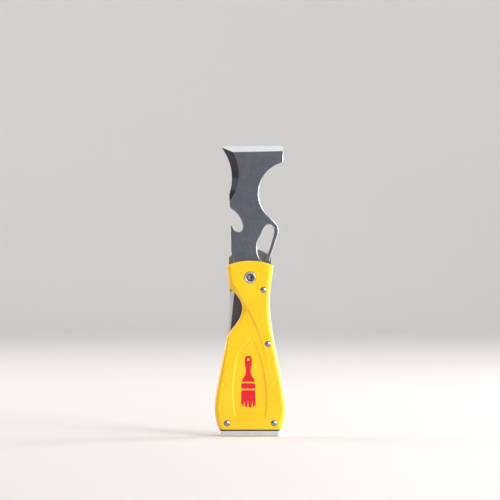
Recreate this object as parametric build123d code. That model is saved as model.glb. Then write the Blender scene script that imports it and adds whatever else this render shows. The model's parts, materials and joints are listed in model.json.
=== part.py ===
from build123d import *
import os
from math import atan, degrees

# Folding painters multi tool, blade open and pointing up (+Z). The front face looks along -Y.
# The origin is the centre of the hammer face. All lengths are millimetres.

# thickness stack, measured from the middle plane of the blade
BLADE_T = 2.4
WASHER_GAP = 0.8
LINER_T = 1.2
SCALE_T = 5.3
LINER_IN = BLADE_T / 2 + WASHER_GAP
LINER_OUT = LINER_IN + LINER_T
SCALE_OUT = LINER_OUT + SCALE_T

# handle outline: half width at each height, and the crown of its top arc
HALF_WIDTHS = [(22.3, 4.8), (25.35, 18.5), (23.0, 39.7), (17.4, 68.5),
               (14.3, 98.8), (15.6, 113.0), (16.9, 122.6)]
CROWN_Z = 126.1
EDGE_ROUND = 3.6
CORE_INSET = 0.5
CROWN_ROUND = 0.9
BUTT_ROUND = 0.4
WALL_TAPER = 55.0
HOLLOW_REACH = 1.2
DIMPLE_BALL_R = 4.0
DIMPLE_DEPTH = 0.38

# hollows of the front face: (Z, depth) at both ends of each sloping floor
STEP_FLOOR = ((46.0, 0.0), (90.0, 0.95))
PANEL_FLOOR = ((17.6, 0.6), (73.0, 0.8))
PANEL_RUN_OUT = ((12.6, 0.0), (17.6, 0.6))

# hammer cap
CAP_HALF_WIDTH = 21.6
CAP_H = 4.4
CAP_ROUND = 1.4
CAP_LOW_CHAMFER = 0.8
CAP_TOP_CHAMFER = 0.4
TENON_TOP = 17.0
LAP_X = 12.5

# pivot and pins (X, Z)
PIVOT = (0.0, 114.1)
STOP_PIN = (9.5, 105.1)
SPINE_RIVET = (12.7, 66.3)
BUTT_PIN_LEFT = (-16.7, 9.4)
BUTT_PIN_RIGHT = (17.1, 9.5)
BARREL_R = 3.0
PIVOT_HEAD_R = 4.1
PIVOT_HEAD_SEAT = 7.0
DISH_R = 2.7
HEAD_ROUND = 0.62
PIN_R = 1.6
PIN_HEAD_R = 2.15
PIN_HEAD_SEAT = 7.7
PIN_RIM_H = 0.6
PIN_DOME_H = 0.9
WASHER_R = 7.0
FIT = 0.05

# blade
BLADE_TOP = 208.7
BLADE_RIGHT = 23.8
TANG_R = 11.0
GRIND_H = 4.4
EDGE_T = 0.35
EDGE_BREAK = 0.4
BARE_Z = 122.0
LOCK_FACE_Z = PIVOT[1] - 7.55
LOCK_NOTCH_X = -4.2

# lock bar: a leaf of the rear liner that springs towards the front
BAR_T = 1.1
BAR_TIP_Z = LOCK_FACE_Z - FIT
BAR_ROOT_Z = 29.0
BAR_SPRING = 1.55
BAR_SLOT = 0.35
BAR_ANGLE = degrees(atan(BAR_SPRING / (BAR_TIP_Z - BAR_ROOT_Z)))
BEVEL_SLOPE = 0.2
BEVEL_LEAN = 0.1
JIMP_PITCH = 1.2
JIMP_R = 0.42
JIMP_LOW, JIMP_HIGH = 74.0, 103.5
DETENT = (-7.0, PIVOT[1] - 10.5)
DETENT_R = 0.8
DETENT_PROUD = 0.15
RAMP_SLOPE = 0.078
RAMP_START = -2.0

# pocket clip on the rear scale
CLIP_T = 1.0
CLIP_HALF_WIDTH = 5.5
CLIP_TIP_HALF_WIDTH = 4.0
CLIP_BEND_Z = 30.0
CLIP_RISE = 3.4
CLIP_CONTACT_Z = 84.0
CLIP_END_Z = 91.0
CLIP_SCREWS = [(-3.2, 14.5), (3.2, 14.5), (0.0, 22.5)]
CLIP_SCREW_R = 1.0

FAR = 60.0


def plate(outline, y_front, y_rear):
    """Solid between two depths, from a face drawn in X and Z."""
    return extrude(Plane.XZ.offset(-y_rear) * outline, y_rear - y_front)


def disc(centre, radius):
    return Pos(centre[0], centre[1]) * Circle(radius)


def rod(centre, radius, y_front, y_rear):
    return plate(disc(centre, radius), y_front, y_rear)


def area(x_low, x_high, z_low, z_high):
    return Pos((x_low + x_high) / 2, (z_low + z_high) / 2) * Rectangle(x_high - x_low, z_high - z_low)


def mirrored(points):
    return [(-x, z) for x, z in points]


def handle_outline(inset=0.0):
    """Waisted handle, the same on both sides, with an arched top and a straight bottom."""
    edge = [(x - inset, z) for x, z in HALF_WIDTHS]
    right = Spline(*edge)
    left = Spline(*mirrored(edge))
    top_x, top_z = edge[-1]
    low_x, low_z = edge[0]
    crown = ThreePointArc((-top_x, top_z), (0, CROWN_Z - inset / 2), (top_x, top_z))
    return make_face([right, crown, left, Line((-low_x, low_z), (low_x, low_z))])


def core_outline():
    return handle_outline(CORE_INSET)


def scallop_outline():
    """Thumb cut-out on the left edge, which bares the lock bar."""
    top, deepest, low = (-14.4, 106.1), (-5.6, 91.6), (-17.4, 70.4)
    upper = Spline(top, (-10.8, 102.8), (-7.2, 97.8), deepest)
    lower = Spline(deepest, (-6.8, 86.3), (-11.2, 79.4), low)
    return upper, lower, top, low


def closed_left(upper, lower, top, low):
    """Close a scallop line round the outside of the handle's left edge."""
    corner_low, corner_top = (-30.0, low[1]), (-30.0, top[1])
    return make_face([upper, lower, Line(low, corner_low), Line(corner_low, corner_top),
                      Line(corner_top, top)])


def scallop_face():
    return closed_left(*scallop_outline())


def ramp_cutter(surface_y, floor_y):
    """Slope that runs down from the face of the scale into the scallop."""
    top, apex, low = (-15.8, 114.6), (-0.7, 90.6), (-18.4, 68.6)
    upper = Spline(top, (-10.8, 107.9), (-5.0, 97.8), apex)
    lower = Spline(apex, (-5.0, 83.4), (-10.8, 76.4), low)
    wide = closed_left(upper, lower, top, low)
    narrow = scallop_face()
    return loft([Plane.XZ.offset(-surface_y) * wide, Plane.XZ.offset(-floor_y) * narrow], ruled=True)


def above_floor(ends):
    """Everything in front of a floor that slopes between two (Z, depth) pairs of the front face."""
    (z_low, depth_low), (z_high, depth_high) = ends
    slope = (depth_high - depth_low) / (z_high - z_low)
    floor = Plane(origin=(0, -SCALE_OUT + depth_low, z_low), x_dir=(1, 0, 0), z_dir=(0, -1, slope))
    return floor * Box(4 * FAR, 4 * FAR, 10, align=(Align.CENTER, Align.CENTER, Align.MIN))


def hollow(outline):
    """Cutter that goes into the front face with slanted walls."""
    return extrude(Plane.XZ.offset(SCALE_OUT) * outline, -HOLLOW_REACH, taper=WALL_TAPER)


def lower_step_face():
    """Lower part of the face, bounded by the S line that runs down to the right."""
    line = Spline((-15.8, 114.6), (-10.8, 107.9), (-5.0, 97.8), (-0.7, 90.6),
                  (6.1, 75.5), (9.6, 64.0), (12.4, 46.0))
    return make_face([line, Line((12.4, 46.0), (-30, 46.0)), Line((-30, 46.0), (-30, 114.6)),
                      Line((-30, 114.6), (-15.8, 114.6))])


def panel_face():
    """Shield-shaped recess of the grip panel."""
    apex = (1.1, 73.3)
    left = Spline((-9.7, 60.3), (-11.9, 43.8), (-12.5, 25.0), (-10.4, 12.6))
    right = Spline((10.8, 12.6), (12.4, 25.0), (10.4, 45.2), (7.6, 58.2), apex)
    return make_face([Line(apex, (-9.7, 60.3)), left, Line((-10.4, 12.6), (10.8, 12.6)), right])


def rounded_scale(y_in, y_out):
    """Scale blank: the handle outline with its outer edges rounded over."""
    blank = plate(handle_outline(), min(y_in, y_out), max(y_in, y_out))
    for kind, radius in ((GeomType.BSPLINE, EDGE_ROUND), (GeomType.CIRCLE, CROWN_ROUND),
                         (GeomType.LINE, BUTT_ROUND)):
        outer = blank.faces().sort_by(Axis.Y)[0 if y_out < y_in else -1]
        blank = fillet(outer.edges().filter_by(kind), radius)
    return blank


def grip_dimples(side):
    """Six shallow scoops where the edge rounding begins."""
    y = side * (SCALE_OUT + DIMPLE_BALL_R - DIMPLE_DEPTH)
    scoops = [Pos(edge * x, y, z) * Sphere(DIMPLE_BALL_R)
              for edge in (-1, 1) for x, z in ((15.4, 56.0), (18.3, 38.0), (20.8, 20.0))]
    return Part() + scoops


def head_holes(side):
    """Clearance holes and counterbores of the pivot and pins through one scale."""
    outside = side * (SCALE_OUT + 3)
    inside = side * (LINER_IN - 1)
    cuts = [rod(PIVOT, BARREL_R + FIT, min(inside, outside), max(inside, outside))]
    seats = [(PIVOT, PIVOT_HEAD_R + 0.15, PIVOT_HEAD_SEAT)]
    for pin in (STOP_PIN, SPINE_RIVET, BUTT_PIN_LEFT, BUTT_PIN_RIGHT):
        cuts.append(rod(pin, PIN_R + FIT, min(inside, outside), max(inside, outside)))
        seats.append((pin, PIN_HEAD_R + 0.15, PIN_HEAD_SEAT))
    for centre, radius, depth in seats:
        seat = side * (depth - FIT)
        cuts.append(rod(centre, radius, min(seat, outside), max(seat, outside)))
    return Part() + cuts


def front_scale():
    scale = rounded_scale(-LINER_OUT, -SCALE_OUT)
    scale -= hollow(lower_step_face()) & above_floor(STEP_FLOOR)
    scale -= hollow(panel_face()) & above_floor(PANEL_FLOOR) & above_floor(PANEL_RUN_OUT)
    scale -= ramp_cutter(-SCALE_OUT - 0.01, -SCALE_OUT + 3.0)
    scale -= plate(scallop_face(), -SCALE_OUT + 2.9, -LINER_OUT + 1)
    scale -= grip_dimples(-1)
    return scale - head_holes(-1)


def rear_scale():
    scale = rounded_scale(LINER_OUT, SCALE_OUT)
    scale -= grip_dimples(1)
    for centre in CLIP_SCREWS:
        scale -= rod(centre, CLIP_SCREW_R + FIT, LINER_IN, SCALE_OUT + 1)
    return scale - head_holes(1)


def liner_holes():
    holes = [disc(PIVOT, BARREL_R + FIT)]
    for pin in (STOP_PIN, SPINE_RIVET, BUTT_PIN_LEFT, BUTT_PIN_RIGHT):
        holes.append(disc(pin, PIN_R + FIT))
    return Sketch() + holes


def front_liner():
    face = core_outline() - scallop_face() - liner_holes()
    return plate(face, -LINER_OUT, -LINER_IN)


def bar_face(grow=0.0):
    """Lock bar seen from the front; grow widens it into the slot that frees it."""
    tip, root = BAR_TIP_Z + grow, BAR_ROOT_Z
    shoulder, tip_left = (-14.6, BAR_TIP_Z - 4.0), (-11.5, tip)
    left = Spline(shoulder, (-14.7, 98.0), (-15.3, 87.0), (-16.9, 71.5), (-18.9, 57.0), (-23.6, root))
    right_top, right_low = (-4.5 + grow, tip), (-11.5 + grow, root)
    return make_face([left, Line((-23.6, root), right_low), Line(right_low, right_top),
                      Line(right_top, tip_left), Line(tip_left, shoulder)])


def rear_liner():
    fan = disc(PIVOT, 20.9) & area(-15.2, 15.2, PIVOT[1], CROWN_Z + 20)
    slot = bar_face(BAR_SLOT) + area(-30, -15.9, BAR_ROOT_Z, 60) + area(-30, -14, 60, BAR_TIP_Z + BAR_SLOT)
    slot += area(-30, -11.5, BAR_ROOT_Z - FIT, BAR_ROOT_Z + 1)
    face = core_outline() + fan - slot - liner_holes()
    for centre in CLIP_SCREWS:
        face -= disc(centre, CLIP_SCREW_R + FIT)
    return plate(face, LINER_IN, LINER_OUT)


def sprung(shape):
    """Lean a flat leaf of the rear liner forwards about its root."""
    root = Location((0, LINER_IN + BAR_T / 2, BAR_ROOT_Z))
    return root * Rot(X=BAR_ANGLE) * root.inverse() * shape


def bar_edge_x(z):
    """Left edge of the lock bar where it is jimped."""
    return -14.7 - 0.0031 * max(0.0, 98.0 - z) ** 2


def thumb_bevel():
    """Slope along the bare, jimped edge of the lock bar; its upper line leans by BEVEL_LEAN."""
    normal = (-BEVEL_SLOPE, -1, BEVEL_LEAN * BEVEL_SLOPE)
    slope = Plane(origin=(-11.2, LINER_IN, 105.0), x_dir=(BEVEL_LEAN, 0, 1), z_dir=normal)
    above = slope * Box(4 * FAR, 4 * FAR, 5, align=(Align.CENTER, Align.CENTER, Align.MIN))
    return above & plate(area(-FAR, 0, 68.0, 110.0), LINER_IN - 1, LINER_OUT)


def lock_bar():
    bar = plate(bar_face(), LINER_IN, LINER_IN + BAR_T) - thumb_bevel()
    teeth = int((JIMP_HIGH - JIMP_LOW) / JIMP_PITCH)
    for tooth in range(teeth + 1):
        z = JIMP_LOW + tooth * JIMP_PITCH
        bar -= rod((bar_edge_x(z), z), JIMP_R, 0, LINER_OUT + 1)
    bar -= rod(DETENT, DETENT_R, LINER_IN - 1, LINER_OUT + 1)
    return sprung(bar)


def detent_ball():
    x, z = DETENT
    ball = Pos(x, LINER_IN - DETENT_PROUD + DETENT_R, z) * Sphere(DETENT_R)
    return sprung(ball - plate(disc(DETENT, 2), LINER_IN + BAR_T, LINER_OUT + 2))


def blade_outline():
    """Scraper blade with its roller notch, hook and round tang."""
    tip = (-20.5, 207.6)
    top_left = (-20.2, BLADE_TOP)
    top_right = (BLADE_RIGHT, BLADE_TOP)
    heel = (BLADE_RIGHT, 197.1)
    notch_top, notch_mid, notch_low = (21.2, 195.8), (6.15, 175.2), (12.8, 158.4)
    bulge = [notch_low, (17.2, 154.4), (20.3, 149.6), (20.0, 144.6)]
    neck_right = (13.6, 125.4)
    tang = [neck_right, (12.6, 114.0), (12.6, 105.6), (0, 108), (-9.0, 112), (-11.9, 125.0)]
    neck_left = [(-11.9, 125.0), (-13.0, 130.2), (-13.9, 140.3), (-14.2, 150.6)]
    hook_point = (-13.1, 151.9)
    throat = [(-11.5, 149.6), (-9.6, 147.2), (-6.9, 147.1), (-5.35, 149.8), (-5.8, 153.5), (-8.6, 158.9),
              (-13.4, 163.1)]
    heel_low, edge_low = (-14.9, 164.8), (-14.9, 174.0)
    edges = [Line(tip, top_left), Line(top_left, top_right), Line(top_right, heel), Line(heel, notch_top),
             ThreePointArc(notch_top, notch_mid, notch_low),
             Spline(*bulge, tangents=[(0.75, -0.66), (-0.316, -0.949)]), Line(bulge[-1], neck_right),
             Polyline(*tang), Spline(*neck_left), Line(neck_left[-1], hook_point),
             Line(hook_point, throat[0]), Spline(*throat), Line(throat[-1], heel_low),
             Line(heel_low, edge_low), ThreePointArc(edge_low, (-13.15, 188.0), tip)]
    body = make_face(edges)
    corner = body.vertices().sort_by_distance((BLADE_RIGHT, BLADE_TOP, 0))[0]
    return fillet(corner, 1.1)


def window_face():
    """Tear-shaped hole beside the neck, which is also the thumb hole."""
    return make_face(Spline((11.4, 127.4), (14.0, 135.6), (16.6, 144.0), (17.2, 148.6), (15.7, 151.6),
                            (12.6, 151.9), (8.3, 145.7), (5.4, 139.6), (5.1, 132.8), (8.0, 126.1),
                            (9.9, 125.0), periodic=True))


def stop_sweep():
    """Everything the stop pin passes through, seen from the blade, as the blade folds by half a turn."""
    reach = (STOP_PIN[0] ** 2 + (STOP_PIN[1] - PIVOT[1]) ** 2) ** 0.5
    band = disc(PIVOT, reach + PIN_R + 0.3) - disc(PIVOT, reach - PIN_R - 0.3)
    across = degrees(atan((STOP_PIN[1] - PIVOT[1]) / STOP_PIN[0]))
    below = Pos(*PIVOT) * Rot(Z=across) * Pos(0, -FAR / 2) * Rectangle(FAR, FAR)
    closed_pin = (2 * PIVOT[0] - STOP_PIN[0], 2 * PIVOT[1] - STOP_PIN[1])
    return (band & below) + disc(STOP_PIN, PIN_R + FIT) + disc(closed_pin, PIN_R + FIT)


def lock_ramp():
    """Slope behind the tang that gives the sprung lock bar room as the blade turns."""
    toward = -(0.5 ** 0.5)
    start = (RAMP_START * toward, BLADE_T / 2, PIVOT[1] + RAMP_START * toward)
    slope = Plane(origin=start, z_dir=(RAMP_SLOPE * toward, 1, RAMP_SLOPE * toward))
    above = slope * Box(2 * FAR, 2 * FAR, 5, align=(Align.CENTER, Align.CENTER, Align.MIN))
    ring = disc(PIVOT, 20.0) - disc(PIVOT, 8.4)
    return plate(ring, 0, BLADE_T) & above


def edge_grind():
    """Chisel bevel along the scraping edge, and the shallow taper under it."""
    rise = BLADE_T - EDGE_T
    bevel = Plane(origin=(0, -BLADE_T / 2, BLADE_TOP - GRIND_H), x_dir=(1, 0, 0), z_dir=(0, -GRIND_H, rise))
    taper = Plane(origin=(-7.2, -BLADE_T / 2, 203.6), x_dir=(29.5, 0, -3.9), z_dir=(0.13 * 0.06, -1, 0.06))
    block = Box(4 * FAR, 4 * FAR, 10, align=(Align.CENTER, Align.CENTER, Align.MIN))
    return bevel * block + taper * block


def crescent_grind():
    """Conical bevel along the curved left edge."""
    centre, radius, slope, lead = (-39.85, 188.3), 31.8, 3.0, 1.0
    place = Plane(origin=(centre[0], -BLADE_T / 2 - lead, centre[1]), z_dir=(0, 1, 0))
    depth = BLADE_T + lead
    return place * Cone(radius + lead * slope, radius + (lead - depth) * slope, depth,
                        align=(Align.CENTER, Align.CENTER, Align.MIN))


def blade():
    face = blade_outline() + disc(PIVOT, TANG_R) - window_face() - stop_sweep()
    face -= area(-FAR, LOCK_NOTCH_X, PIVOT[1] - FAR, LOCK_FACE_Z)
    face -= disc(PIVOT, BARREL_R + FIT)
    solid = plate(face, -BLADE_T / 2, BLADE_T / 2)
    for side in (0, -1):
        flat = solid.faces().sort_by(Axis.Y)[side]
        solid = chamfer([edge for edge in flat.edges() if edge.center().Z > BARE_Z], EDGE_BREAK)
    solid -= edge_grind()
    solid -= crescent_grind()
    solid -= lock_ramp()
    detent = (-DETENT[0], BLADE_T / 2 + 0.5, 2 * PIVOT[1] - DETENT[1])
    return solid - Pos(*detent) * Sphere(DETENT_R)


def washer(side):
    play = 0.02
    near, far = side * (BLADE_T / 2 + play), side * (LINER_IN - play)
    ring = disc(PIVOT, WASHER_R) - disc(PIVOT, BARREL_R + FIT)
    return plate(ring, min(near, far), max(near, far))


def pivot_barrel():
    """Smooth barrel nut with a slotted head on the rear scale."""
    barrel = rod(PIVOT, BARREL_R, -PIVOT_HEAD_SEAT + 0.2, PIVOT_HEAD_SEAT)
    head = rod(PIVOT, PIVOT_HEAD_R, PIVOT_HEAD_SEAT, SCALE_OUT + 0.4)
    head = chamfer(head.faces().sort_by(Axis.Y)[-1].edges(), 0.5)
    slot = plate(area(-FAR, FAR, PIVOT[1] - 0.5, PIVOT[1] + 0.5), SCALE_OUT - 0.4, SCALE_OUT + 2)
    return barrel + head - slot - rod(PIVOT, 2.0 + FIT, -PIVOT_HEAD_SEAT, 4.5)


def pivot_screw():
    """Screw with a rounded, dished head and a six-lobed socket."""
    shank = rod(PIVOT, 2.0, -PIVOT_HEAD_SEAT, 4.0)
    front = -SCALE_OUT - 0.5
    head = rod(PIVOT, PIVOT_HEAD_R, front, -PIVOT_HEAD_SEAT) - rod(PIVOT, DISH_R, front - 1, front + 0.8)
    rim = [edge for edge in head.edges().filter_by(GeomType.CIRCLE) if edge.center().Y < front + 0.01]
    head = fillet(rim, HEAD_ROUND)
    lobes = [disc(PIVOT, 1.35)]
    lobes += [Pos(*PIVOT) * spot * Circle(0.42) for spot in PolarLocations(1.35, 6)]
    socket = plate(Sketch() + lobes, front - 1, front + 1.7)
    return shank + head - socket


def rivet(centre, y_start):
    """Domed rivet half; y_start is where its shank begins, measured from the middle plane."""
    rim = PIN_HEAD_SEAT + PIN_RIM_H
    ball_r = (PIN_HEAD_R ** 2 + PIN_DOME_H ** 2) / (2 * PIN_DOME_H)
    ball = Pos(centre[0], rim + PIN_DOME_H - ball_r, centre[1]) * Sphere(ball_r)
    dome = ball & rod(centre, PIN_HEAD_R, rim, rim + 2 * PIN_DOME_H)
    return rod(centre, PIN_R, y_start, PIN_HEAD_SEAT) + rod(centre, PIN_HEAD_R, PIN_HEAD_SEAT, rim) + dome


def flipped(shape):
    """Turn a rear piece into the same piece on the front."""
    return mirror(shape, Plane.XZ)


def through_pin(centre):
    half = rivet(centre, 0)
    return half + flipped(half)


def scale_rivet(side):
    half = rivet(SPINE_RIVET, LINER_IN)
    return half if side > 0 else flipped(half)


def backspacer():
    """Spine spacer beside the folded blade, with a half-thickness foot on the right butt pin."""
    inner = Spline((15.3, 80.0), (15.8, 66.0), (15.6, 50.0), (15.2, 42.0), (17.2, 32.5), (21.6, 22.0),
                   (22.2, TENON_TOP + 0.3))
    low, corner_low, corner_top = (22.2, TENON_TOP + 0.3), (40, TENON_TOP + 0.3), (40, 80)
    strip = make_face([inner, Polyline(low, corner_low, corner_top, (15.3, 80))])
    foot = area(LAP_X + 0.3, 40, 4.9, TENON_TOP + 0.3)
    core = core_outline()
    lap = plate((foot & core) - disc(BUTT_PIN_RIGHT, PIN_R + FIT), -LINER_IN, -FIT)
    return plate(strip & core, -LINER_IN, LINER_IN) + lap


def hammer_cap():
    """Steel butt block with a tenon between the liners."""
    block = Pos(0, 0, CAP_H / 2) * Box(2 * CAP_HALF_WIDTH, 2 * SCALE_OUT, CAP_H)
    block = fillet(block.edges().filter_by(Axis.Z), CAP_ROUND)
    block = chamfer(block.faces().sort_by(Axis.Z)[0].edges(), CAP_LOW_CHAMFER)
    block = chamfer(block.faces().sort_by(Axis.Z)[-1].edges(), CAP_TOP_CHAMFER)
    core = core_outline()
    left = (core & area(-40, LAP_X, CAP_H, TENON_TOP)) - disc(BUTT_PIN_LEFT, PIN_R + FIT)
    right = (core & area(LAP_X, 40, CAP_H, TENON_TOP)) - disc(BUTT_PIN_RIGHT, PIN_R + FIT)
    root = plate(area(-20, 20, CAP_H - 1, 6.0), 0, LINER_IN)
    return block + plate(left, -LINER_IN, LINER_IN) + plate(right, 0, LINER_IN) + root


def clip_strip(profile, half_low, half_high, z_low, z_high):
    """Bent strip of the clip's side profile, cut to a tapering width seen from the rear."""
    strip = extrude(Plane.YZ.offset(-CLIP_HALF_WIDTH) * profile, 2 * CLIP_HALF_WIDTH)
    width = make_face(Polyline((-half_low, z_low), (half_low, z_low), (half_high, z_high),
                               (-half_high, z_high), close=True))
    return strip & plate(width, 0, 3 * SCALE_OUT)


def clip_plate():
    """Screwed foot of the pocket clip."""
    foot = plate(area(-CLIP_HALF_WIDTH, CLIP_HALF_WIDTH, 9.5, CLIP_BEND_Z), SCALE_OUT, SCALE_OUT + CLIP_T)
    foot = fillet(foot.edges().filter_by(Axis.Y).group_by(Axis.Z)[0], 4.0)
    for centre in CLIP_SCREWS:
        foot -= rod(centre, CLIP_SCREW_R + FIT, SCALE_OUT - 1, SCALE_OUT + 3)
    return foot


def clip_arm():
    """Sprung arm of the pocket clip, which rises, presses back on the scale and flares out."""
    y0 = SCALE_OUT + CLIP_T / 2
    path = Spline((y0, CLIP_BEND_Z + FIT), (y0 + CLIP_RISE * 0.9, CLIP_BEND_Z + 9), (y0 + CLIP_RISE, 52.0),
                  (y0 + CLIP_RISE * 0.45, 72.0), (y0 + 0.3, CLIP_CONTACT_Z), (y0 + 2.0, CLIP_END_Z),
                  tangents=[(0.3, 1), (1, 1.6)])
    profile = trace(path, CLIP_T)
    arm = clip_strip(profile, CLIP_HALF_WIDTH, CLIP_TIP_HALF_WIDTH, CLIP_BEND_Z + FIT, CLIP_END_Z + 5)
    return arm


def clip_screws():
    """Three button-head screws through the rear scale into the rear liner."""
    seat = SCALE_OUT + CLIP_T
    screws = Part()
    for x, z in CLIP_SCREWS:
        screw = rod((x, z), CLIP_SCREW_R, LINER_IN + 0.1, seat)
        head = rod((x, z), 1.9, seat, seat + 1.1)
        head = fillet(head.faces().sort_by(Axis.Y)[-1].edges(), 0.7)
        hexagon = plate(Pos(x, z) * RegularPolygon(0.75, 6), seat + 0.4, seat + 2)
        screws += screw + head - hexagon
    return screws


PARTS = {
    "front_scale": front_scale, "rear_scale": rear_scale,
    "front_liner": front_liner, "rear_liner": rear_liner,
    "lock_bar": lock_bar, "detent_ball": detent_ball, "blade": blade,
    "front_washer": lambda: washer(-1), "rear_washer": lambda: washer(1),
    "pivot_barrel": pivot_barrel, "pivot_screw": pivot_screw,
    "stop_pin": lambda: through_pin(STOP_PIN),
    "front_scale_rivet": lambda: scale_rivet(-1), "rear_scale_rivet": lambda: scale_rivet(1),
    "left_butt_pin": lambda: through_pin(BUTT_PIN_LEFT),
    "right_butt_pin": lambda: through_pin(BUTT_PIN_RIGHT),
    "backspacer": backspacer, "hammer_cap": hammer_cap,
    "clip_plate": clip_plate, "clip_arm": clip_arm, "clip_screws": clip_screws,
}

os.makedirs("parts", exist_ok=True)
for name, make in PARTS.items():
    export_step(make(), f"parts/{name}.step")
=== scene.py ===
import json
import math

import bmesh
import bpy
from mathutils import Matrix, Vector


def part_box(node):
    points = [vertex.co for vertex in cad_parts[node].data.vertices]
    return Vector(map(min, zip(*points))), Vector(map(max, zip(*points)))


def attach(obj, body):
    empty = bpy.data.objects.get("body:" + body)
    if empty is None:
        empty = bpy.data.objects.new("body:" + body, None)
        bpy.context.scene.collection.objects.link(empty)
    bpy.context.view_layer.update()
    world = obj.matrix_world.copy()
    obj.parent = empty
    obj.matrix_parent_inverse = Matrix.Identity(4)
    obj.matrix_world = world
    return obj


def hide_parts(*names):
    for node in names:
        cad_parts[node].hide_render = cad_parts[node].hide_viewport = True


# Folding painters multi tool. Metres, upright on its hammer face, front towards -Y.
MM = 0.001

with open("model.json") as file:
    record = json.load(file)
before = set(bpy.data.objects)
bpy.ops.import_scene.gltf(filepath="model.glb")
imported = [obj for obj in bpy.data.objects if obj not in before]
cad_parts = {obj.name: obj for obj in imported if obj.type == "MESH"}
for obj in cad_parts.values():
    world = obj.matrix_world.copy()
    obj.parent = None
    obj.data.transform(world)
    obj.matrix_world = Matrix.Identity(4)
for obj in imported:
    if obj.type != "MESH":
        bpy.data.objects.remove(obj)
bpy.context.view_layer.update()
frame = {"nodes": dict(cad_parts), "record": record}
NODES = frame["nodes"]


# ---------------------------------------------------------------- node helpers

class Graph:
    """One material's node tree, with short calls to add and join nodes."""

    def __init__(self, name):
        self.material = bpy.data.materials.new(name)
        self.material.use_nodes = True
        self.tree = self.material.node_tree
        self.tree.nodes.clear()
        self.bsdf = self.add("ShaderNodeBsdfPrincipled")
        self.link(self.bsdf.outputs[0], self.add("ShaderNodeOutputMaterial").inputs["Surface"])
        self.coords = self.add("ShaderNodeTexCoord").outputs["Object"]

    def add(self, kind, **settings):
        node = self.tree.nodes.new(kind)
        for key, value in settings.items():
            setattr(node, key, value)
        return node

    def link(self, source, target):
        self.tree.links.new(source, target)

    def feed(self, socket, value):
        """Link a socket, or set it to a number or colour."""
        if isinstance(value, bpy.types.NodeSocket):
            self.link(value, socket)
        else:
            socket.default_value = value

    def stretched(self, scale):
        mapping = self.add("ShaderNodeMapping")
        mapping.inputs["Scale"].default_value = scale
        self.link(self.coords, mapping.inputs["Vector"])
        return mapping.outputs["Vector"]

    def noise(self, size_mm, detail=4.0, rough=0.55, stretch=(1, 1, 1)):
        """Noise whose features are about size_mm across; stretch lengthens them along an axis."""
        node = self.add("ShaderNodeTexNoise")
        node.inputs["Scale"].default_value = 1.0 / (size_mm * MM)
        node.inputs["Detail"].default_value = detail
        node.inputs["Roughness"].default_value = rough
        self.link(self.stretched(tuple(1.0 / s for s in stretch)), node.inputs["Vector"])
        return node.outputs["Fac"]

    def math(self, operation, a, b=0.0):
        node = self.add("ShaderNodeMath", operation=operation)
        for socket, value in zip(node.inputs, (a, b)):
            self.feed(socket, value)
        return node.outputs[0]

    def spread(self, value, low, high, from_low=0.0, from_high=1.0):
        """Map a value from one span to another, clamped."""
        node = self.add("ShaderNodeMapRange")
        self.feed(node.inputs["Value"], value)
        node.inputs["From Min"].default_value = from_low
        node.inputs["From Max"].default_value = from_high
        node.inputs["To Min"].default_value = low
        node.inputs["To Max"].default_value = high
        return node.outputs["Result"]

    def blend(self, factor, a, b):
        node = self.add("ShaderNodeMix", data_type="RGBA")
        self.feed(node.inputs["Factor"], factor)
        self.feed(node.inputs["A"], colour(a))
        self.feed(node.inputs["B"], colour(b))
        return node.outputs["Result"]

    def bump(self, height, depth_mm, strength=0.5):
        node = self.add("ShaderNodeBump")
        node.inputs["Strength"].default_value = strength
        node.inputs["Distance"].default_value = depth_mm * MM
        self.link(height, node.inputs["Height"])
        return node.outputs["Normal"]

    def position(self):
        node = self.add("ShaderNodeSeparateXYZ")
        self.link(self.coords, node.inputs[0])
        return node.outputs

    def facing(self):
        """The surface's own normal, in the object's axes."""
        node = self.add("ShaderNodeSeparateXYZ")
        self.link(self.add("ShaderNodeTexCoord").outputs["Normal"], node.inputs[0])
        return node.outputs

    def surface(self, **values):
        names = {"color": "Base Color", "metal": "Metallic", "rough": "Roughness", "normal": "Normal",
                 "coat": "Coat Weight", "coat_rough": "Coat Roughness", "specular": "Specular IOR Level",
                 "sheen": "Sheen Weight", "sheen_rough": "Sheen Roughness", "sheen_tint": "Sheen Tint"}
        for key, value in values.items():
            self.feed(self.bsdf.inputs[names[key]], colour(value))
        return self.material


def colour(value):
    if isinstance(value, tuple) and len(value) == 3:
        return (*value, 1.0)
    return value


def srgb(red, green, blue):
    """Linear colour of an 8-bit screen colour."""
    def linear(v):
        v /= 255.0
        return v / 12.92 if v <= 0.04045 else ((v + 0.055) / 1.055) ** 2.4
    return (linear(red), linear(green), linear(blue))


# ---------------------------------------------------------------- materials

def yellow_plastic():
    """Moulded nylon: warm yellow, fine spark-eroded texture, faint flow shading."""
    g = Graph("yellow_plastic")
    flow = g.spread(g.noise(22, 2), 0.0, 1.0, 0.35, 0.65)
    base = g.blend(flow, srgb(255, 195, 0), srgb(255, 201, 1))
    grain = g.noise(0.35, 3)
    rough = g.spread(g.noise(6, 5), 0.27, 0.36, 0.35, 0.65)
    return g.surface(color=base, rough=rough, specular=0.4, coat=0.6, coat_rough=0.25,
                     sheen=0.6, sheen_rough=0.3, sheen_tint=(1.0, 0.92, 0.90),
                     normal=g.bump(grain, 0.02, 0.3))


def cloudy(g, tone, mottle, size_mm=4.5):
    """Colour that drifts between slightly darker and lighter than tone."""
    light = tuple(min(1.0, c * (1 + mottle)) for c in tone)
    dark = tuple(c * (1 - mottle) for c in tone)
    return g.blend(g.spread(g.noise(size_mm, 6, 0.7), 0.0, 1.0, 0.32, 0.68), dark, light)


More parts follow.
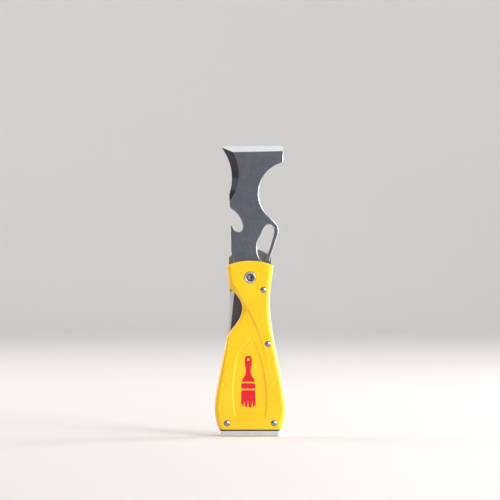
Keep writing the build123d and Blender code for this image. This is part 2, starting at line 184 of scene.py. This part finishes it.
def between(g, value, low, high, soft=0.02):
    """One inside a span of values and nothing outside it."""
    above = g.spread(value, 0.0, 1.0, low - soft, low + soft)
    below = g.spread(value, 1.0, 0.0, high - soft, high + soft)
    return g.math("MULTIPLY", above, below)


def satin_steel(name, tone, rough_low, rough_high, grain_axis=(1, 1, 1), mottle=0.12, bump_mm=0.006):
    """Tumbled stainless steel: cloudy tone, fine grain, streaks along grain_axis."""
    g = Graph(name)
    streak = g.noise(0.25, 3, 0.6, grain_axis)
    rough = g.spread(streak, rough_low, rough_high, 0.3, 0.7)
    return g.surface(color=cloudy(g, tone, mottle), metal=1.0, rough=rough,
                     normal=g.bump(streak, bump_mm))


def blade_steel():
    """Stonewashed blade: speckled grey flats; the hollow grind is painted dark as shade, the taper lighter
    as a painted reflection, the ground edge bright from its ground finish and a painted reflection, and
    the rims bright as painted highlights over their polish.
    """
    g = Graph("blade_steel")
    face_x, face_y, face_z = g.facing()
    flat = cloudy(g, srgb(116, 120, 131), 0.12)
    speck = g.spread(g.noise(0.9, 4, 0.7), 0.0, 1.0, 0.54, 0.64)
    base = g.blend(g.math("MULTIPLY", speck, 0.45), flat, srgb(150, 153, 162))
    # painted shade: the hollow grind, which faces down and left, darkened
    crescent_painted_shade = between(g, face_x, -0.55, -0.12)
    base = g.blend(crescent_painted_shade, base, srgb(84, 82, 90))
    # painted reflection: the shallow taper facet lightened
    taper_painted_reflection = between(g, face_z, 0.03, 0.12, 0.01)
    base = g.blend(g.math("MULTIPLY", taper_painted_reflection, 0.6), base, srgb(124, 132, 142))
    lines = g.noise(0.12, 2, 0.5, (1, 1, 40))
    # ground edge: a real ground finish with brush lines, brightened further as a painted reflection
    ground_finish_and_reflection = between(g, face_z, 0.25, 0.6)
    bright = g.blend(g.spread(lines, 0.0, 1.0, 0.35, 0.65), srgb(178, 182, 183), srgb(204, 207, 208))
    base = g.blend(ground_finish_and_reflection, base, bright)
    # edges and chamfers: polished, and painted bright as highlights
    rim_painted_highlight = g.spread(g.math("ABSOLUTE", face_y), 1.0, 0.0, 0.72, 0.80)
    base = g.blend(rim_painted_highlight, base, srgb(190, 190, 192))
    grain = g.noise(0.2, 3, 0.6, (1, 1, 14))
    rough = g.spread(grain, 0.34, 0.46, 0.3, 0.7)
    return g.surface(color=base, metal=1.0, rough=rough, normal=g.bump(grain, 0.006))


def lock_bar_steel():
    """Liner leaf: flat painted dark as shade, bevel along the thumb edge painted bright as highlight over
    its ground finish.
    """
    g = Graph("lock_bar_steel")
    face_x = g.facing()[0]
    # painted highlight on the bevel over its ground finish; painted shade on the darker flat
    bevel_painted_highlight = between(g, face_x, -0.5, -0.1)
    base = g.blend(bevel_painted_highlight, cloudy(g, srgb(96, 92, 92), 0.1), cloudy(g, srgb(242, 240, 238), 0.06))
    grain = g.noise(0.25, 3, 0.6, (1, 1, 8))
    return g.surface(color=base, metal=1.0, rough=g.spread(grain, 0.3, 0.42, 0.3, 0.7),
                     normal=g.bump(grain, 0.006))


# pivot screw: radii of the dish and socket, the depths where the socket's painted light starts, and the
# offsets where its painted highlight turns into painted shade
DISH_R, DISH_FADE = 2.65 * MM, 0.15 * MM
SOCKET_R, SOCKET_FADE = 1.8 * MM, 0.2 * MM
SOCKET_STARTS, SOCKET_FULL = 0.85 * MM, 1.1 * MM
SHADE_LEFT, SHADE_RIGHT = -0.3 * MM, 0.8 * MM


def pivot_steel():
    """Bright screw head; its dish is painted darker as shade in the recess, and its socket carries a
    painted highlight on the left and painted shade on the right.
    """
    g = Graph("pivot_steel")
    (low_x, low_y, low_z), (high_x, _, high_z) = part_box("pivot_screw")
    x, y, z = g.position()
    across = g.math("SUBTRACT", x, (low_x + high_x) / 2)
    up = g.math("SUBTRACT", z, (low_z + high_z) / 2)
    reach = g.math("SQRT", g.math("ADD", g.math("MULTIPLY", across, across), g.math("MULTIPLY", up, up)))
    bright = cloudy(g, srgb(206, 205, 204), 0.05, 1.5)
    dish = g.spread(reach, 1.0, 0.0, DISH_R, DISH_R + DISH_FADE)
    socket = g.math("MULTIPLY", g.spread(reach, 1.0, 0.0, SOCKET_R, SOCKET_R + SOCKET_FADE),
                    g.spread(y, 0.0, 1.0, low_y + SOCKET_STARTS, low_y + SOCKET_FULL))
    # painted shade: the dish darker than the head
    base = g.blend(dish, bright, srgb(120, 114, 112))
    # painted highlight on the socket's left and painted shade on its right
    shade = g.spread(across, 0.0, 1.0, SHADE_LEFT, SHADE_RIGHT)
    tone = g.blend(shade, srgb(226, 225, 225), srgb(52, 47, 47))
    base = g.blend(socket, base, tone)
    return g.surface(color=base, metal=1.0, rough=0.26, normal=g.bump(g.noise(0.3, 3), 0.003))


def cap_steel():
    """Brushed hammer cap, with painted shade on the faces that look up into the groove under the scales.
    """
    g = Graph("cap_steel")
    face_z = g.facing()[2]
    # painted shade in the groove under the scales
    groove_painted_shade = g.spread(face_z, 0.0, 1.0, 0.45, 0.6)
    base = g.blend(groove_painted_shade, cloudy(g, srgb(236, 237, 238), 0.04), srgb(52, 44, 34))
    streak = g.noise(0.25, 3, 0.6, (14, 1, 1))
    return g.surface(color=base, metal=1.0, rough=g.spread(streak, 0.34, 0.46, 0.3, 0.7),
                     normal=g.bump(streak, 0.004))


def new_object(name, data):
    obj = bpy.data.objects.new(name, data)
    bpy.context.scene.collection.objects.link(obj)
    return obj


def finish_only(obj, material):
    obj.data.materials.clear()
    obj.data.materials.append(material)


MATERIALS = {
    "yellow_plastic": yellow_plastic(),
    "blade_steel": blade_steel(),
    "liner_steel": satin_steel("liner_steel", srgb(142, 141, 143), 0.3, 0.42, (1, 1, 8)),
    "washer_bronze": satin_steel("washer_bronze", srgb(190, 140, 72), 0.25, 0.35),
    "pin_steel": satin_steel("pin_steel", srgb(158, 159, 168), 0.12, 0.2, mottle=0.04, bump_mm=0.002),
    "cap_steel": cap_steel(),
    "clip_steel": satin_steel("clip_steel", srgb(200, 200, 202), 0.22, 0.32, (1, 1, 10), 0.06),
}

for row in frame["record"]["subparts"]:
    finish_only(NODES[row["node"]], MATERIALS[row["material_slot"]])
finish_only(NODES["lock_bar"], lock_bar_steel())
finish_only(NODES["pivot_screw"], pivot_steel())


# ---------------------------------------------------------------- moulded scales

def moulded(node):
    """Copy of a CAD scale with the soft creases and edges that a mould leaves."""
    piece = new_object(f"{node}_moulded", NODES[node].data.copy())
    remesh = piece.modifiers.new("remesh", "REMESH")
    remesh.mode = "VOXEL"
    remesh.voxel_size = MOULD_VOXEL
    remesh.use_smooth_shade = True
    soften = piece.modifiers.new("soften", "SMOOTH")
    soften.factor = MOULD_SOFTEN
    soften.iterations = MOULD_PASSES
    shown = piece.evaluated_get(bpy.context.evaluated_depsgraph_get())
    mesh = bpy.data.meshes.new_from_object(shown)
    piece.modifiers.clear()
    piece.data = mesh
    finish_only(piece, MATERIALS["yellow_plastic"])
    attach(piece, "handle")
    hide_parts(node)
    return piece


MOULD_VOXEL = 0.36 * MM
MOULD_SOFTEN = 0.5
MOULD_PASSES = 2

moulded("front_scale")
moulded("rear_scale")


# ---------------------------------------------------------------- printed emblem

def emblem_ink():
    """Red pad-printed ink with slightly uneven cover."""
    g = Graph("emblem_ink")
    cover = g.spread(g.noise(1.2, 4), 0.0, 1.0, 0.35, 0.7)
    base = g.blend(cover, srgb(214, 12, 34), srgb(226, 18, 44))
    return g.surface(color=base, rough=g.spread(g.noise(0.5, 3), 0.3, 0.42), specular=0.5)


def closed_spline(curve, points, corners=0):
    """Closed Bezier outline through (u, v) points in millimetres; the first corners are sharp."""
    spline = curve.splines.new("BEZIER")
    spline.bezier_points.add(len(points) - 1)
    spline.use_cyclic_u = True
    for i, (knot, (u, v)) in enumerate(zip(spline.bezier_points, points)):
        knot.co = (u * MM, v * MM, 0.0)
        knot.handle_left_type = knot.handle_right_type = "VECTOR" if i < corners else "AUTO"


def brush_emblem():
    """Plain paint-brush sign, bristles down, lying on the sloping floor of the grip panel."""
    curve = bpy.data.curves.new("panel_emblem", "CURVE")
    curve.dimensions = "2D"
    curve.fill_mode = "BOTH"
    curve.extrude = INK_T / 2
    curve.resolution_u = CURVE_STEPS
    bristles = [(-5.0, 12.6), (-5.2, 3.0), (-3.6, 0.6), (-3.1, 5.2), (-2.4, 0.9), (-0.9, 0.2), (-0.4, 6.0),
                (0.3, 0.4), (2.2, 0.0), (2.9, 5.0), (3.5, 0.5), (5.2, 1.6), (5.0, 12.6)]
    ferrule = [(-5.0, 13.6), (5.0, 13.6), (5.0, 17.6), (-5.0, 17.6)]
    right = [(4.2, 20.2), (2.2, 23.6), (1.8, 27.5), (2.6, 33.2), (1.9, 36.6)]
    handle = [(-4.6, 18.6), (4.6, 18.6)] + right + [(0.0, 37.4)] + [(-u, v) for u, v in reversed(right)]
    quarters = (0.0, math.pi / 2, math.pi, -math.pi / 2)
    hole = [(HOLE_R * math.cos(a), HOLE_V + HOLE_R * math.sin(a)) for a in quarters]
    closed_spline(curve, bristles, len(bristles))
    closed_spline(curve, ferrule, len(ferrule))
    closed_spline(curve, handle, 2)
    closed_spline(curve, hole)
    obj = new_object("panel_emblem", curve)
    mesh = bpy.data.meshes.new_from_object(obj.evaluated_get(bpy.context.evaluated_depsgraph_get()))
    bpy.data.objects.remove(obj)
    (_, low_y, low_z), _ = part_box("front_scale")
    rise = math.atan2(PANEL_DEEPER, PANEL_HIGH - PANEL_LOW)
    place = Matrix.Translation((EMBLEM_X, low_y + PANEL_DEPTH, low_z + EMBLEM_ABOVE_BUTT))
    mesh.transform(place @ Matrix.Rotation(math.pi / 2 - rise, 4, "X"))
    piece = new_object("panel_emblem", mesh)
    finish_only(piece, emblem_ink())
    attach(piece, "handle")
    return piece


# sloping floor of the grip panel, as in the CAD: heights, depth at its foot, extra depth at its top
PANEL_LOW, PANEL_HIGH = 17.6 * MM, 73.0 * MM
PANEL_DEPTH = 0.61 * MM
PANEL_DEEPER = 0.2 * MM

INK_T = 0.16 * MM
EMBLEM_X = -1.2 * MM
EMBLEM_ABOVE_BUTT = 15.8 * MM
CURVE_STEPS = 12
HOLE_R, HOLE_V = 0.95, 34.6

brush_emblem()


# ---------------------------------------------------------------- stage

def backdrop():
    """Pale round floor that curves up into a wall on every side."""
    middle, wall, height, radius, steps, turns = 0.5, 4.2, 3.4, 1.2, 16, 64
    profile = [(middle, 0.0)]
    for i in range(steps + 1):
        angle = math.pi / 2 * i / steps
        profile.append((wall - radius + radius * math.sin(angle), radius - radius * math.cos(angle)))
    profile.append((wall, height))
    bm = bmesh.new()
    rings = []
    for reach, z in profile:
        spokes = [2 * math.pi * turn / turns for turn in range(turns)]
        rings.append([bm.verts.new((reach * math.cos(a), reach * math.sin(a), z)) for a in spokes])
    bm.faces.new(rings[0])
    for inner, outer in zip(rings, rings[1:]):
        for i in range(turns):
            j = (i + 1) % turns
            bm.faces.new((inner[i], outer[i], outer[j], inner[j]))
    mesh = bpy.data.meshes.new("backdrop")
    bm.to_mesh(mesh)
    bm.free()
    for face in mesh.polygons:
        face.use_smooth = True
    obj = new_object("backdrop", mesh)
    g = Graph("backdrop")
    mesh.materials.append(g.surface(color=srgb(219, 218, 216), rough=0.85, specular=0.2))


def softbox(name, place, aim, size, power, tint=(1, 1, 1)):
    light = bpy.data.lights.new(name, "AREA")
    light.shape = "RECTANGLE"
    light.size, light.size_y = size
    light.energy = power
    light.color = tint
    obj = new_object(name, light)
    obj.location = place
    obj.rotation_euler = (Vector(aim) - Vector(place)).to_track_quat("-Z", "Y").to_euler()


def camera():
    data = bpy.data.cameras.new("camera")
    data.sensor_width = SENSOR_MM
    data.lens = SENSOR_MM * CAMERA_DISTANCE / VIEW_WIDTH
    data.clip_start = 0.05
    data.clip_end = 20.0
    obj = new_object("camera", data)
    obj.location = (0.0, -CAMERA_DISTANCE, VIEW_CENTRE_Z)
    obj.rotation_euler = (math.pi / 2, 0.0, 0.0)
    bpy.context.scene.camera = obj


SENSOR_MM = 36.0
VIEW_WIDTH = 0.360
VIEW_CENTRE_Z = 0.1338
CAMERA_DISTANCE = 2.4
MIDDLE = (0.0, 0.0, 0.11)
WORLD_TINT, WORLD_STRENGTH = (0.92, 0.95, 1.0, 1.0), 0.22

backdrop()
softbox("key", (1.2, -1.2, 0.9), MIDDLE, (0.9, 0.8), 24)
softbox("rim_right", (1.6, 0.7, 0.5), MIDDLE, (1.1, 1.1), 40, (1.0, 0.93, 0.94))
softbox("graze_right", (1.7, -0.35, 0.45), MIDDLE, (0.5, 0.9), 16, (1.0, 0.95, 0.92))
softbox("rim_left", (-1.5, 0.75, 0.6), MIDDLE, (0.9, 1.0), 18, (1.0, 0.86, 0.80))
softbox("top", (0.3, -1.0, 1.6), MIDDLE, (1.1, 0.5), 6)
softbox("wall_glow", (0.0, 1.2, 2.6), (0.0, 4.2, 0.6), (2.4, 0.8), 52)
world = bpy.data.worlds.new("studio")
world.use_nodes = True
ambient = world.node_tree.nodes["Background"]
ambient.inputs["Color"].default_value = WORLD_TINT
ambient.inputs["Strength"].default_value = WORLD_STRENGTH
bpy.context.scene.world = world
bpy.context.scene.view_settings.view_transform = "Standard"
camera()
